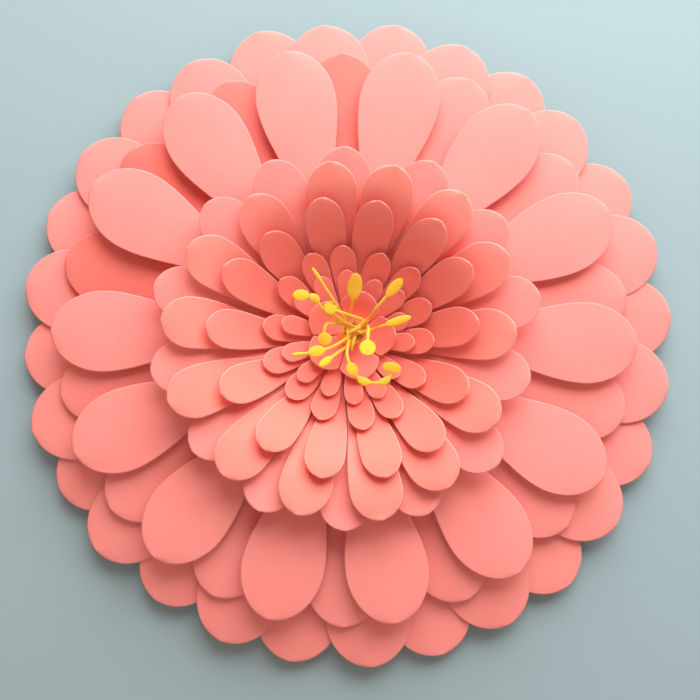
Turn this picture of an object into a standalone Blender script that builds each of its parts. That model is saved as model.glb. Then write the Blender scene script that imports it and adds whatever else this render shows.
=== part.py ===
"""Giant paper flower: nine rings of cut card petals around a five-petal cup and a rolled yellow stamen fringe.

Metres, +Z up. The flower faces -Y, and its backing disc lies flat on the wall plane y = 0, so "height" below
means distance in front of the wall. The origin is the middle of the disc's back face.
Angles run clockwise from 12 o'clock, as seen from the front.
"""

import math
from typing import NamedTuple

import bmesh
import bpy
from mathutils import Vector

# Card and glue
SHEET_THICKNESS = 0.0004
GLUE_GAP = 0.0003
NEIGHBOUR_GAP = 0.0012

# Backing disc
DISC_RADIUS = 0.044
DISC_THICKNESS = 0.002
DISC_SIDES = 56
TAB_SINK = 0.0002

# Petal count of every ring but the centre cup
PETALS = 14
CUP_PETALS = 5

# Cross lines that the card meshes share where they rise, so that stacked rings stay parallel
SHARED_RADII = (0.032, 0.056, 0.085, 0.125)
STATION_SPACE = 0.006

# Cross lines in a petal's round end: more where the end shows whole
HIDDEN_TIP_STEPS = 3
SHOWN_TIP_STEPS = 4

# How much longer or shorter one petal comes out than its ring is counted in this length
REACH_STEP = 0.001

# Rolled base of the stamens, and the thin strips that are cut in its front edge. The roll leans a little, so its
# front edge lies off its seat, and the places that the strips pass are counted in stamen steps.
ROLL_RADIUS = 0.0088
ROLL_HEIGHT = 0.012
ROLL_SIDES = 24
ROLL_RIGHT = 0.0023
ROLL_UP = 0.0019
LEAN_RIGHT = 0.0030
LEAN_UP = 0.0020
STAMEN_STEP = 0.001
FILAMENT_WIDTH = 0.0018

CORAL = (0.93, 0.27, 0.19, 1.0)
YELLOW = (0.96, 0.55, 0.06, 1.0)
CARD_ROUGHNESS = 0.85
SHARP_ANGLE = 40.0


class Ring(NamedTuple):
    """One ring of petals; every length is in metres."""

    name: str
    root_radius: float
    flat_radius: float
    crest_radius: float
    tip_radius: float
    petal_width: float
    stem_width: float
    tip_length: float
    taper: float
    lift: float
    cup: float
    curl: float
    curl_length: float
    right: float
    up: float
    first_angle: float
    sway: tuple
    reach: tuple = (0,) * PETALS
    tip_steps: int = HIDDEN_TIP_STEPS


# From the wall outwards. lift is the clear height over the ring behind at the tip, cup is how far the petal's
# sides fall below its middle, and curl is how far its tip rolls back towards the wall. right and up say how far off
# the disc's middle a ring was glued, sway is how far off their even places its petals point, in degrees, and reach
# is how many reach steps each petal comes out longer than its ring.
OUTER_REAR = Ring(
    name="outer_rear",
    root_radius=0.032,
    flat_radius=0.046,
    crest_radius=0.115,
    tip_radius=0.251,
    petal_width=0.064,
    stem_width=0.011,
    tip_length=0.034,
    taper=2.0,
    lift=0.008,
    cup=0.001,
    curl=0.006,
    curl_length=0.080,
    right=0.0,
    up=0.0,
    first_angle=9.5,
    sway=(-0.5, -0.5, 0, -0.5, 0, 0, -0.5, 0.5, 1, 1, 0, 0.5, 0, 0),
    reach=(0, -1, -1, 0, 0, 2, 0, -2, -4, -2, -1, 2, 2, 2),
    tip_steps=SHOWN_TIP_STEPS,
)
OUTER_FRONT = Ring(
    name="outer_petal",
    root_radius=0.032,
    flat_radius=0.046,
    crest_radius=0.115,
    tip_radius=0.2495,
    petal_width=0.064,
    stem_width=0.011,
    tip_length=0.034,
    taper=2.0,
    lift=0.0015,
    cup=0.001,
    curl=0.0,
    curl_length=0.050,
    right=0.0,
    up=0.0,
    first_angle=22.0,
    sway=(0, -1, -0.5, 0, 0, 0, -0.5, 0.5, 2, 0, 0.5, 0, -0.5, -0.5),
    reach=(-2, -2, 1, 0, 0, 0, 0, -1, 1, 2, 3, 3, 0, -2),
    tip_steps=SHOWN_TIP_STEPS,
)
MIDDLE_REAR = Ring(
    name="middle_rear_petal",
    root_radius=0.032,
    flat_radius=0.042,
    crest_radius=0.105,
    tip_radius=0.220,
    petal_width=0.061,
    stem_width=0.010,
    tip_length=0.037,
    taper=2.3,
    lift=0.004,
    cup=0.001,
    curl=0.0,
    curl_length=0.050,
    right=-0.0025,
    up=0.0027,
    first_angle=1.0,
    sway=(-1.5, 0, 1.5, 4, 2.5, 1.5, 0, -1, 0, 0.5, -0.5, 1.5, 0, -1),
    reach=(-2, 0, -1, -3, 1, 2, 0, 0, 0, 0, 0, 1, -2, -4),
)
MIDDLE_FRONT = Ring(
    name="middle_front_petal",
    root_radius=0.032,
    flat_radius=0.042,
    crest_radius=0.105,
    tip_radius=0.2205,
    petal_width=0.061,
    stem_width=0.010,
    tip_length=0.037,
    taper=2.3,
    lift=0.008,
    cup=0.001,
    curl=0.0,
    curl_length=0.050,
    right=-0.0025,
    up=0.0027,
    first_angle=15.0,
    sway=(-1.5, -1, -0.5, 0.5, 1.5, 0.5, 0.5, -0.5, -0.5, -0.5, -2, 2.5, 1, -1),
    reach=(0, 0, 1, 0, 1, 0, -2, -1, -2, 0, 0, 1, 0, 0),
    tip_steps=SHOWN_TIP_STEPS,
)
FLAT_ROSETTE = Ring(
    name="rosette_flat",
    root_radius=0.026,
    flat_radius=0.036,
    crest_radius=0.200,
    tip_radius=0.1435,
    petal_width=0.0395,
    stem_width=0.008,
    tip_length=0.020,
    taper=1.1,
    lift=0.016,
    cup=0.0006,
    curl=0.0005,
    curl_length=0.040,
    right=-0.0016,
    up=0.0006,
    first_angle=1.5,
    sway=(-2, 0.5, 1.5, 1, 0.5, 1, 0, -1.5, -1, -1, -0.5, -0.5, 2.5, 0),
    reach=(-5, -1, 1, 2, -4, 3, 1, 0, 0, -3, 1, 1, -3, -4),
)
CUPPED_ROSETTE = Ring(
    name="rosette_cupped",
    root_radius=0.022,
    flat_radius=0.032,
    crest_radius=0.230,
    tip_radius=0.1325,
    petal_width=0.038,
    stem_width=0.007,
    tip_length=0.0195,
    taper=1.6,
    lift=0.0085,
    cup=0.0012,
    curl=0.004,
    curl_length=0.035,
    right=-0.0016,
    up=-0.0004,
    first_angle=16.0,
    sway=(1, -1, -3, -3, 1, 1.5, -1.5, -1.5, -1, 1, 1, 0, 0, 4.5),
    reach=(-4, 1, -1, -8, -5, 1, 4, 2, 2, 4, 1, -2, -10, -6),
)
MEDIUM_ROSETTE = Ring(
    name="rosette_medium",
    root_radius=0.018,
    flat_radius=0.030,
    crest_radius=0.110,
    tip_radius=0.102,
    petal_width=0.0295,
    stem_width=0.006,
    tip_length=0.0150,
    taper=1.6,
    lift=0.0065,
    cup=0.0008,
    curl=0.003,
    curl_length=0.030,
    right=-0.0008,
    up=-0.0010,
    first_angle=13.0,
    sway=(1, 1.5, -3, -5, 0, -0.5, -3.5, -3, -3, 0.5, 3, 3, 0, 2),
    reach=(-1, 5, 2, -5, -4, 4, 5, 3, 0, -2, 0, 0, -7, 0),
)
SMALL_ROSETTE = Ring(
    name="rosette_small",
    root_radius=0.014,
    flat_radius=0.018,
    crest_radius=0.072,
    tip_radius=0.067,
    petal_width=0.020,
    stem_width=0.0045,
    tip_length=0.0100,
    taper=1.4,
    lift=0.006,
    cup=0.0005,
    curl=0.002,
    curl_length=0.020,
    right=0.0005,
    up=-0.0003,
    first_angle=20.0,
    sway=(3, 1, -2, -4, -1.5, 0, -4, -1, -1, 0, 1, 7, 6, 2),
    reach=(1, 5, 0, -2, 0, 4, 4, -1, -3, 0, -2, 0, 2, 2),
)
TINY_ROSETTE = Ring(
    name="rosette_tiny",
    root_radius=0.0115,
    flat_radius=0.0135,
    crest_radius=0.054,
    tip_radius=0.051,
    petal_width=0.0145,
    stem_width=0.0037,
    tip_length=0.0073,
    taper=1.4,
    lift=0.004,
    cup=0.0004,
    curl=0.0015,
    curl_length=0.015,
    right=0.0006,
    up=0.0003,
    first_angle=23.0,
    sway=(5, 2.5, -1.5, -4.5, 2, 0, -3, -2.5, 0, 0, 2, 2, 2, 1.5),
    reach=(-2, 3, -3, 0, -2, 2, 1, -3, -1, 1, 1, 0, 0, 0),
)
CENTRE_CUP = Ring(
    name="centre_cup",
    root_radius=0.010,
    flat_radius=0.011,
    crest_radius=0.040,
    tip_radius=0.035,
    petal_width=0.033,
    stem_width=0.008,
    tip_length=0.011,
    taper=0.9,
    lift=0.006,
    cup=0.0006,
    curl=0.0015,
    curl_length=0.010,
    right=0.002,
    up=0.0015,
    first_angle=20.0,
    sway=(0, -1, -3, 0, -4),
)
RINGS = (
    OUTER_REAR,
    OUTER_FRONT,
    MIDDLE_REAR,
    MIDDLE_FRONT,
    FLAT_ROSETTE,
    CUPPED_ROSETTE,
    MEDIUM_ROSETTE,
    SMALL_ROSETTE,
    TINY_ROSETTE,
    CENTRE_CUP,
)


class Stop(NamedTuple):
    """A place that a stamen strip passes, in stamen steps; an anther is a stop with a length and a width."""

    right: float
    up: float
    height: float
    length: float = 0.0
    width: float = 0.0


# Each strip grows from one side of the roll's front edge, counted clockwise from 12 o'clock. Its stops are measured
# from the middle of the roll's seat, and their heights from its front edge.
STAMENS = {
    0: (Stop(3.5, 13.5, 11.2), Stop(3.1, 33.2, 27.2, 21, 10.9)),
    3: (Stop(15.5, 14.5, 13.2), Stop(32.5, 32.5, 25.2, 17.4, 8)),
    5: (Stop(17.5, 4.5, 10.2), Stop(35.7, 8.3, 19.2, 20.2, 6.3)),
    9: (Stop(11, -5, 15.2), Stop(12.6, -12, 23.2, 13.4, 13.2)),
    12: (
        Stop(-1, -14.5, 10.2),
        Stop(1.2, -27.4, 15.2, 11.2, 10.3),
        Stop(10, -36.2, 15.2, 11.2, 6.9),
        Stop(25.4, -36.2, 16.2, 10.1, 8),
        Stop(30.1, -26, 18.2, 11.2, 13.8),
    ),
    14: (Stop(-5.5, -16.5, 9.2), Stop(-17, -21, 12.2, 14.6, 5.7)),
    16: (Stop(-14.5, -10.5, 10.2), Stop(-25.3, -14, 14.2, 13.4, 10.3), Stop(-39.3, -16.3, 16.2, 7.8, 2.8)),
    18: (Stop(-11.5, 4, 9.2), Stop(-18.7, 5.3, 12.2, 5.6, 4.6), Stop(-19.4, -4.6, 10.2, 10.1, 10.9)),
    20: (Stop(-15.5, 11.5, 13.2), Stop(-26.4, 24.9, 21.2, 10.1, 6.3), Stop(-36.8, 27.3, 21.2, 12.3, 8.6)),
    21: (Stop(-7.5, 12.5, 11.2), Stop(-15, 18.5, 16.2, 10.1, 10.3)),
    22: (Stop(-9.5, 20.5, 17.2), Stop(-27, 45.5, 29.2, 17.9, 3)),
}
BLADE_SHAPE = ((-0.5, 0.0), (-0.25, 0.85), (0.25, 0.85), (0.5, 0.35))


def clear_scene():
    """Remove what the scene holds before the flower is made."""
    for item in list(bpy.data.objects):
        bpy.data.objects.remove(item, do_unlink=True)


def card_material(name, colour):
    """Matte card of one colour."""
    material = bpy.data.materials.new(name)
    material.use_nodes = True
    shader = material.node_tree.nodes["Principled BSDF"]
    shader.inputs["Base Color"].default_value = colour
    shader.inputs["Roughness"].default_value = CARD_ROUGHNESS
    shader.inputs["Metallic"].default_value = 0.0
    return material


def clock_place(right, up, angle, radius):
    """Right and up of a place at a clock angle in degrees and a radius around a middle."""
    turn = math.radians(angle)
    return right + radius * math.sin(turn), up + radius * math.cos(turn)


def front_point(place, height):
    """A point in space from its right and up, standing off the wall by a height."""
    return Vector((place[0], -height, place[1]))


def ease(share):
    """Smooth step from 0 to 1."""
    share = min(max(share, 0.0), 1.0)
    return share * share * (3.0 - 2.0 * share)


def rise_share(ring, radius):
    """How much of its rise a ring has made at a radius: 0 where it lies flat and 1 at its tip."""
    reach = ring.crest_radius - ring.flat_radius
    at_tip = ease((ring.tip_radius - ring.flat_radius) / reach)
    return ease((radius - ring.flat_radius) / reach) / at_tip


def ring_height(index, place):
    """Height of a ring's back face along its petals' middle lines: each ring lies over the one behind."""
    height = DISC_THICKNESS - TAB_SINK
    for level, ring in enumerate(RINGS[: index + 1]):
        radius = math.dist(place, (ring.right, ring.up))
        share = rise_share(ring, radius)
        curl_start = ring.tip_radius - ring.curl_length
        rolled = max(radius - curl_start, 0.0) / ring.curl_length
        height += (ring.lift + ring.cup + ring.curl) * share
        height -= ring.curl * share * min(rolled, 1.0) ** 2
        if level:
            height += SHEET_THICKNESS + GLUE_GAP
    return height


def petal_stations(ring, number):
    """Radius and half width of each cross line of a petal, from its root to its tip."""
    widest = ring.tip_radius + ring.reach[number] * REACH_STEP - ring.tip_length
    radii = [ring.root_radius]
    for radius in SHARED_RADII:
        if ring.root_radius + STATION_SPACE / 2 < radius < widest - STATION_SPACE:
            radii.append(radius)
    radii.append(widest)
    stations = []
    for radius in radii:
        share = (radius - ring.root_radius) / (widest - ring.root_radius)
        spread = math.sin(math.pi / 2 * share**ring.taper)
        half = ring.stem_width / 2 + (ring.petal_width - ring.stem_width) / 2 * spread
        stations.append((radius, half))
    for step in range(1, ring.tip_steps + 1):
        turn = math.pi / 2 * step / ring.tip_steps
        radius = widest + ring.tip_length * math.sin(turn)
        stations.append((radius, ring.petal_width / 2 * math.cos(turn)))
    return stations


def petal_angle(ring, count, number, radius):
    """Clock angle of a petal's middle line: even at the root, and swayed by hand towards its tip."""
    share = (radius - ring.root_radius) / (ring.tip_radius - ring.root_radius)
    return ring.first_angle + 360.0 * number / count + ring.sway[number % count] * ease(share * 2.0)


def side_angle(ring, count, number, side, radius, half):
    """Angle from a petal's middle line to its edge, kept clear of the neighbour on that side."""
    middle = petal_angle(ring, count, number, radius)
    if side > 0:
        beside = petal_angle(ring, count, (number + 1) % count, radius)
        space = (beside - middle) % 360.0
    else:
        beside = petal_angle(ring, count, (number - 1) % count, radius)
        space = (middle - beside) % 360.0
    limit = space / 2 - math.degrees(NEIGHBOUR_GAP / radius) / 2
    return min(math.degrees(math.asin(min(half / radius, 1.0))), limit)


def petal_rows(bm, index, count, number):
    """Rows of three vertices across a petal, from its root outwards, and one vertex at its tip."""
    ring = RINGS[index]
    stations = petal_stations(ring, number)
    rows = []
    for radius, half in stations[:-1]:
        row = []
        for side in (-1, 0, 1):
            angle = petal_angle(ring, count, number, radius)
            angle += side * side_angle(ring, count, number, side, radius, half)
            place = clock_place(ring.right, ring.up, angle, radius)
            height = ring_height(index, place) - abs(side) * ring.cup * rise_share(ring, radius)
            row.append(bm.verts.new(front_point(place, height)))
        rows.append(row)
    radius = stations[-1][0]
    place = clock_place(ring.right, ring.up, petal_angle(ring, count, number, radius), radius)
    rows.append([bm.verts.new(front_point(place, ring_height(index, place)))])
    for near, far in zip(rows[:-2], rows[1:-1]):
        for left in range(2):
            bm.faces.new((near[left], near[left + 1], far[left + 1], far[left]))
    near, tip = rows[-2], rows[-1][0]
    for left in range(2):
        bm.faces.new((near[left], near[left + 1], tip))
    return rows


def add_object(bm, name, material):
    """Put a mesh in the scene as a named object, smooth but for its cut edges."""
    mesh = bpy.data.meshes.new(name)
    bm.to_mesh(mesh)
    bm.free()
    item = bpy.data.objects.new(name, mesh)
    bpy.context.collection.objects.link(item)
    mesh.materials.append(material)
    mesh.shade_smooth()
    mesh.set_sharp_from_angle(angle=math.radians(SHARP_ANGLE))
    return item


def add_sheet(bm, name, material):
    """Thicken a sheet that looks at the wall, so that the card grows to the front, and put it in the scene."""
    bmesh.ops.solidify(bm, geom=bm.faces[:], thickness=SHEET_THICKNESS)
    return add_object(bm, name, material)


def face_wall(bm):
    """Turn every face of a petal sheet to look at the wall."""
    bm.normal_update()
    for face in bm.faces:
        if face.normal.y < 0:
            face.normal_flip()


def cut_petal(index, number, name, material):
    """One separate petal, cut from its own piece of card."""
    bm = bmesh.new()
    petal_rows(bm, index, PETALS, number)
    face_wall(bm)
    return add_sheet(bm, name, material)


def rosette(index, count, material):
    """A whole ring cut from one sheet: petals that share a flat hub."""
    bm = bmesh.new()
    rim = []
    for number in range(count):
        rows = petal_rows(bm, index, count, number)
        rim.extend(rows[0])
    bm.faces.new(rim)
    face_wall(bm)
    return add_sheet(bm, RINGS[index].name, material)


def strip_stations(stops, edge_height):
    """Middle points, plan directions and half widths along one stamen strip, with its anthers filled in."""
    points = []
    for stop in stops:
        place = (ROLL_RIGHT + stop.right * STAMEN_STEP, ROLL_UP + stop.up * STAMEN_STEP)
        points.append(front_point(place, edge_height + stop.height * STAMEN_STEP))
    stations = []
    for number, stop in enumerate(stops):
        point = points[number]
        way = points[min(number + 1, len(stops) - 1)] - points[max(number - 1, 0)]
        way.normalize()
        if not stop.length:
            stations.append((point, way, FILAMENT_WIDTH / 2))
            continue
        for along, wide in BLADE_SHAPE:
            half = max(FILAMENT_WIDTH, wide * stop.width * STAMEN_STEP) / 2
            stations.append((point + along * stop.length * STAMEN_STEP * way, way, half))
    return stations


def stamen_fringe(material):
    """Rolled yellow strip whose front edge is cut into thin filaments with flat oval anthers."""
    bm = bmesh.new()
    base = ring_height(len(RINGS) - 1, (ROLL_RIGHT, ROLL_UP)) + SHEET_THICKNESS + GLUE_GAP
    edge_height = base + ROLL_HEIGHT
    rims = []
    for right, up, height in (
        (ROLL_RIGHT, ROLL_UP, base),
        (ROLL_RIGHT + LEAN_RIGHT, ROLL_UP + LEAN_UP, edge_height),
    ):
        rim = []
        for side in range(ROLL_SIDES):
            place = clock_place(right, up, 360.0 * side / ROLL_SIDES, ROLL_RADIUS)
            rim.append(bm.verts.new(front_point(place, height)))
        rims.append(rim)
    seat = bm.faces.new(rims[0])
    for side in range(ROLL_SIDES):
        after = (side + 1) % ROLL_SIDES
        bm.faces.new((rims[0][side], rims[0][after], rims[1][after], rims[1][side]))
    for side, stops in STAMENS.items():
        near = (rims[1][side], rims[1][(side + 1) % ROLL_SIDES])
        for point, way, half in strip_stations(stops, edge_height):
            across = Vector((-way.z, 0.0, way.x)).normalized()
            if across.dot(near[1].co - near[0].co) < 0:
                across.negate()
            far = (bm.verts.new(point - across * half), bm.verts.new(point + across * half))
            bm.faces.new((near[0], near[1], far[1], far[0]))
            near = far
    bmesh.ops.recalc_face_normals(bm, faces=bm.faces)
    if seat.normal.y < 0:
        bmesh.ops.reverse_faces(bm, faces=bm.faces)
    return add_sheet(bm, "stamen_fringe", material)


def backing_disc(material):
    """Round backing card with the rearmost ring of petals glued on it, as one solid."""
    bm = bmesh.new()
    for number in range(PETALS):
        petal_rows(bm, 0, PETALS, number)
    face_wall(bm)
    ring = add_sheet(bm, "outer_rear_ring", material)
    ring.hide_render = True
    ring.display_type = "WIRE"

    bm = bmesh.new()
    back = []
    for side in range(DISC_SIDES):
        place = clock_place(0.0, 0.0, 360.0 * side / DISC_SIDES, DISC_RADIUS)
        back.append(bm.verts.new(front_point(place, 0.0)))
    face = bm.faces.new(back)
    grown = bmesh.ops.extrude_face_region(bm, geom=[face])
    front = [part for part in grown["geom"] if isinstance(part, bmesh.types.BMVert)]
    bmesh.ops.translate(bm, verts=front, vec=(0.0, -DISC_THICKNESS, 0.0))
    bmesh.ops.recalc_face_normals(bm, faces=bm.faces)
    disc = add_object(bm, "backing_disc", material)
    union = disc.modifiers.new("glued_ring", "BOOLEAN")
    union.operation = "UNION"
    union.solver = "EXACT"
    union.object = ring
    return disc


def build():
    """Make every piece of the flower."""
    clear_scene()
    coral = card_material("coral_card", CORAL)
    backing_disc(card_material("backing_card", CORAL))
    for index in (1, 2, 3):
        for number in range(PETALS):
            name = f"{RINGS[index].name}_{number + 1:02d}"
            cut_petal(index, number, name, coral)
    for index in (4, 5, 6, 7, 8):
        rosette(index, PETALS, coral)
    rosette(9, CUP_PETALS, coral)
    stamen_fringe(card_material("yellow_card", YELLOW))


build()
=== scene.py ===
# %% [markdown]
# # A giant paper flower
# The real flower is a stack of rings cut from coral card, glued one over the other on a round backing
# disc, with a rolled strip of yellow card in the middle for its stamens. This lesson dresses the plain
# model of it: it makes each petal again as a finely curved sheet, cuts and bends the stamens, and gives
# the card its grain and its pale cut edge. The first cell loads the plain model, which says where every
# piece sits.

# %% Load the plain model
import math
from typing import NamedTuple

import bmesh
import bpy
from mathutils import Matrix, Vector


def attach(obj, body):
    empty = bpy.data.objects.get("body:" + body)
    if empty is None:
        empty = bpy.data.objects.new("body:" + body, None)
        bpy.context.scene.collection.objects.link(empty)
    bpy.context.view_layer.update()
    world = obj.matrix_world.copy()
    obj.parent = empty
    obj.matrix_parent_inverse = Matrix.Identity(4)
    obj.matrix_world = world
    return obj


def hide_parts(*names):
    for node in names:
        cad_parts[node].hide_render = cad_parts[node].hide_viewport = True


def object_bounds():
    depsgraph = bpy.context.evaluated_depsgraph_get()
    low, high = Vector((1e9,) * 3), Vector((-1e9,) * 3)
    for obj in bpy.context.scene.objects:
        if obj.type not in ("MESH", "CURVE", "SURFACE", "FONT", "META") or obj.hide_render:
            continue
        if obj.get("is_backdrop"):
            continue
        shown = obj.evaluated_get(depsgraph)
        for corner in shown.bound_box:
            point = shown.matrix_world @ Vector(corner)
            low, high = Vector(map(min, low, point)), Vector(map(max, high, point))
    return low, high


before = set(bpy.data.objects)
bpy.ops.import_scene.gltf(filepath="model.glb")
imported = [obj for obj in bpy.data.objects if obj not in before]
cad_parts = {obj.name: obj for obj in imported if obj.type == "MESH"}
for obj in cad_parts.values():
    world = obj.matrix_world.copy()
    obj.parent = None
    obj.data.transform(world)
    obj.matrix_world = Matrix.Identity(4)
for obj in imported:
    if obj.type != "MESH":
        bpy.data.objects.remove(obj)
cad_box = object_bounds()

print("plain nodes:", len(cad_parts))

# %% [markdown]
# ## The camera
# The photo was taken from in front of the flower and a little below its middle. The camera comes first,
# because every later choice is judged through it. It stands three quarters of a metre away, so that the
# bowl in the middle looks slightly larger than the rings behind it, as on the real one.

# %% Place the camera
scene = bpy.context.scene
CAMERA_DISTANCE = 0.75
CAMERA_ELEVATION = math.radians(-4)
SENSOR_WIDTH = 36.0
FRONT_OF_WALL = 0.013
METRES_ACROSS = 0.5401
LOOK_AT = Vector((0.002, 0.0, -0.0086))


def add_object(name, data):
    """Put a mesh, a lamp or a camera in the scene as a named object."""
    item = bpy.data.objects.new(name, data)
    scene.collection.objects.link(item)
    return item


camera_data = bpy.data.cameras.new("camera")
camera_data.sensor_width = SENSOR_WIDTH
camera_data.lens = SENSOR_WIDTH * (CAMERA_DISTANCE - FRONT_OF_WALL) / METRES_ACROSS
camera = add_object("camera", camera_data)
back = Vector((0.0, -math.cos(CAMERA_ELEVATION), math.sin(CAMERA_ELEVATION)))
camera.location = LOOK_AT + CAMERA_DISTANCE * back
camera.rotation_euler = (-back).to_track_quat("-Z", "Y").to_euler()
scene.camera = camera
print("lens in mm:", round(camera_data.lens, 1))

# %% [markdown]
# ## The sizes of the card and of the rings
# A paper flower repeats one idea at many sizes: a ring of petals that lies flat at its root, rises off
# the ring behind it and rolls back a little at its tips. So one record with the same fields describes
# every ring. Angles run clockwise from twelve o'clock and lengths are metres. Four fields hold a number
# for each petal. Three of them are there because hand-made petals are never alike. "sway" is how many
# degrees off its even place the petal was glued, and "reach" how many steps it comes out longer than its
# ring. "lean" is how many steps its end was bent forward: the part before the end sinks, and the tip
# keeps its height. The fourth field is painted shade: how many steps its card is darkened towards a
# deeper colour, where the petal lies in shadow or deep in the bowl.

# %% Describe the card and what a ring is
SHEET_THICKNESS = 0.0004
GLUE_GAP = 0.0003
LAYER_STEP = SHEET_THICKNESS + GLUE_GAP
NEIGHBOUR_GAP = 0.0012
DISC_RADIUS = 0.044
DISC_THICKNESS = 0.002
TAB_SINK = 0.0002
PETALS = 14
REACH_STEP = 0.001
LEAN_STEP = 0.001
PAINTED_SHADE_STEP = 0.1


class Ring(NamedTuple):
    """One ring of petals, in metres and degrees."""

    name: str
    root_radius: float
    flat_radius: float
    crest_radius: float
    tip_radius: float
    petal_width: float
    stem_width: float
    tip_length: float
    taper: float
    lift: float
    cup: float
    curl: float
    curl_length: float
    right: float
    up: float
    first_angle: float
    sway: tuple
    reach: tuple = (0,) * PETALS
    lean: tuple = (0,) * PETALS
    # Steps of painted shade, darkening the card where the petal lies in shade.
    shade: tuple = (0,) * PETALS


# %% [markdown]
# ### The four rings of big petals
# Two outer and two middle rings are made of separate petals, each cut from its own sheet, because the
# whole ring is wider than common sheets of card. The front ring of each pair stands in the gaps of the
# rear one.

# %% Sizes of the big petals
OUTER_REAR = Ring(
    name="outer_rear",
    root_radius=0.032,
    flat_radius=0.046,
    crest_radius=0.115,
    tip_radius=0.251,
    petal_width=0.064,
    stem_width=0.011,
    tip_length=0.034,
    taper=2.0,
    lift=0.008,
    cup=0.001,
    curl=0.006,
    curl_length=0.080,
    right=0.0,
    up=0.0,
    first_angle=9.5,
    sway=(-0.5, -0.5, 0, -0.5, 0, 0, -0.5, 0.5, 1, 1, 0, 0.5, 0, 0),
    reach=(0, -1, -1, 0, 0, 2, 0, -2, -4, -2, -1, 2, 2, 2),
)
OUTER_FRONT = OUTER_REAR._replace(
    name="outer_petal",
    tip_radius=0.2495,
    lift=0.0015,
    curl=0.0,
    curl_length=0.050,
    first_angle=22.0,
    sway=(0, -1, -0.5, 0, 0, 0, -0.5, 0.5, 2, 0, 0.5, 0, -0.5, -0.5),
    reach=(-2, -2, 1, 0, 0, 0, 0, -1, 1, 2, 3, 3, 0, -2),
)
MIDDLE_REAR = Ring(
    name="middle_rear_petal",
    root_radius=0.032,
    flat_radius=0.042,
    crest_radius=0.105,
    tip_radius=0.220,
    petal_width=0.061,
    stem_width=0.010,
    tip_length=0.037,
    taper=2.3,
    lift=0.004,
    cup=0.001,
    curl=0.0,
    curl_length=0.050,
    right=-0.0025,
    up=0.0027,
    first_angle=1.0,
    sway=(-1.5, 0, 1.5, 4, 2.5, 1.5, 0, -1, 0, 0.5, -0.5, 1.5, 0, -1),
    reach=(-2, 0, -1, -3, 1, 2, 0, 0, 0, 0, 0, 1, -2, -4),
    lean=(6, 0, 0, 1, -2, 0, 0, 0, 0, 0, -4, 7, 7, 7),
    # Painted shade: rear petals darkened where the front ring shadows them.
    shade=(6, 0, 0, 0, 1, 0, 1, 0, 0, 0, 2, 7, 7, 5),
)
MIDDLE_FRONT = MIDDLE_REAR._replace(
    name="middle_front_petal",
    tip_radius=0.2205,
    lift=0.008,
    first_angle=15.0,
    sway=(-1.5, -1, -0.5, 0.5, 1.5, 0.5, 0.5, -0.5, -0.5, -0.5, -2, 2.5, 1, -1),
    reach=(0, 0, 1, 0, 1, 0, -2, -1, -2, 0, 0, 1, 0, 0),
    lean=(0, 1, 0, 0, -1, 1, -3, -1, 0, 1, -1, 1, 0, 0),
    shade=(0,) * PETALS,
)

# %% [markdown]
# ### The rosettes and the cup
# Inside the middle rings each ring is small enough to be cut whole, with a flat hub that its petals
# share. The second rosette stands up as the rim of a bowl, and the smaller ones fill that bowl. Five
# broad petals close the middle.

# %% Sizes of the rosettes and the cup
FLAT_ROSETTE = Ring(
    name="rosette_flat",
    root_radius=0.026,
    flat_radius=0.036,
    crest_radius=0.200,
    tip_radius=0.1435,
    petal_width=0.0395,
    stem_width=0.008,
    tip_length=0.020,
    taper=1.1,
    lift=0.016,
    cup=0.0006,
    curl=0.0005,
    curl_length=0.040,
    right=-0.0016,
    up=0.0006,
    first_angle=1.5,
    sway=(-2, 0.5, 1.5, 1, 0.5, 1, 0, -1.5, -1, -1, -0.5, -0.5, 2.5, 0),
    reach=(-5, -1, 1, 2, -4, 3, 1, 0, 0, -3, 1, 1, -3, -4),
)
CUPPED_ROSETTE = Ring(
    name="rosette_cupped",
    root_radius=0.022,
    flat_radius=0.032,
    crest_radius=0.230,
    tip_radius=0.1325,
    petal_width=0.038,
    stem_width=0.007,
    tip_length=0.0195,
    taper=1.6,
    lift=0.0085,
    cup=0.0012,
    curl=0.004,
    curl_length=0.035,
    right=-0.0016,
    up=-0.0004,
    first_angle=16.0,
    sway=(1, -1, -3, -3, 1, 1.5, -1.5, -1.5, -1, 1, 1, 0, 0, 4.5),
    reach=(-4, 1, -1, -8, -5, 1, 4, 2, 2, 4, 1, -2, -10, -6),
    lean=(8, 1, 5, 3, 0, 3, -4, 7, 7, 8, 7, 0, 5, 7),
)
MEDIUM_ROSETTE = Ring(
    name="rosette_medium",
    root_radius=0.018,
    flat_radius=0.030,
    crest_radius=0.110,
    tip_radius=0.102,
    petal_width=0.0295,
    stem_width=0.006,
    tip_length=0.0150,
    taper=1.6,
    lift=0.0065,
    cup=0.0008,
    curl=0.003,
    curl_length=0.030,
    right=-0.0008,
    up=-0.0010,
    first_angle=13.0,
    sway=(1, 1.5, -3, -5, 0, -0.5, -3.5, -3, -3, 0.5, 3, 3, 0, 2),
    reach=(-1, 5, 2, -5, -4, 4, 5, 3, 0, -2, 0, 0, -7, 0),
    # Painted shade: darker deep in the bowl.
    shade=(1, 1, 1, 2, 4, 2, 2, 2, 2, 1, 1, 1, 2, 1),
)
SMALL_ROSETTE = Ring(
    name="rosette_small",
    root_radius=0.014,
    flat_radius=0.018,
    crest_radius=0.072,
    tip_radius=0.067,
    petal_width=0.020,
    stem_width=0.0045,
    tip_length=0.0100,
    taper=1.4,
    lift=0.006,
    cup=0.0005,
    curl=0.002,
    curl_length=0.020,
    right=0.0005,
    up=-0.0003,
    first_angle=20.0,
    sway=(3, 1, -2, -4, -1.5, 0, -4, -1, -1, 0, 1, 7, 6, 2),
    reach=(1, 5, 0, -2, 0, 4, 4, -1, -3, 0, -2, 0, 2, 2),
    # Painted shade: darker deep in the bowl.
    shade=(2, 2, 2, 2, 2, 3, 4, 4, 3, 2, 2, 2, 1, 1),
)
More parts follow.
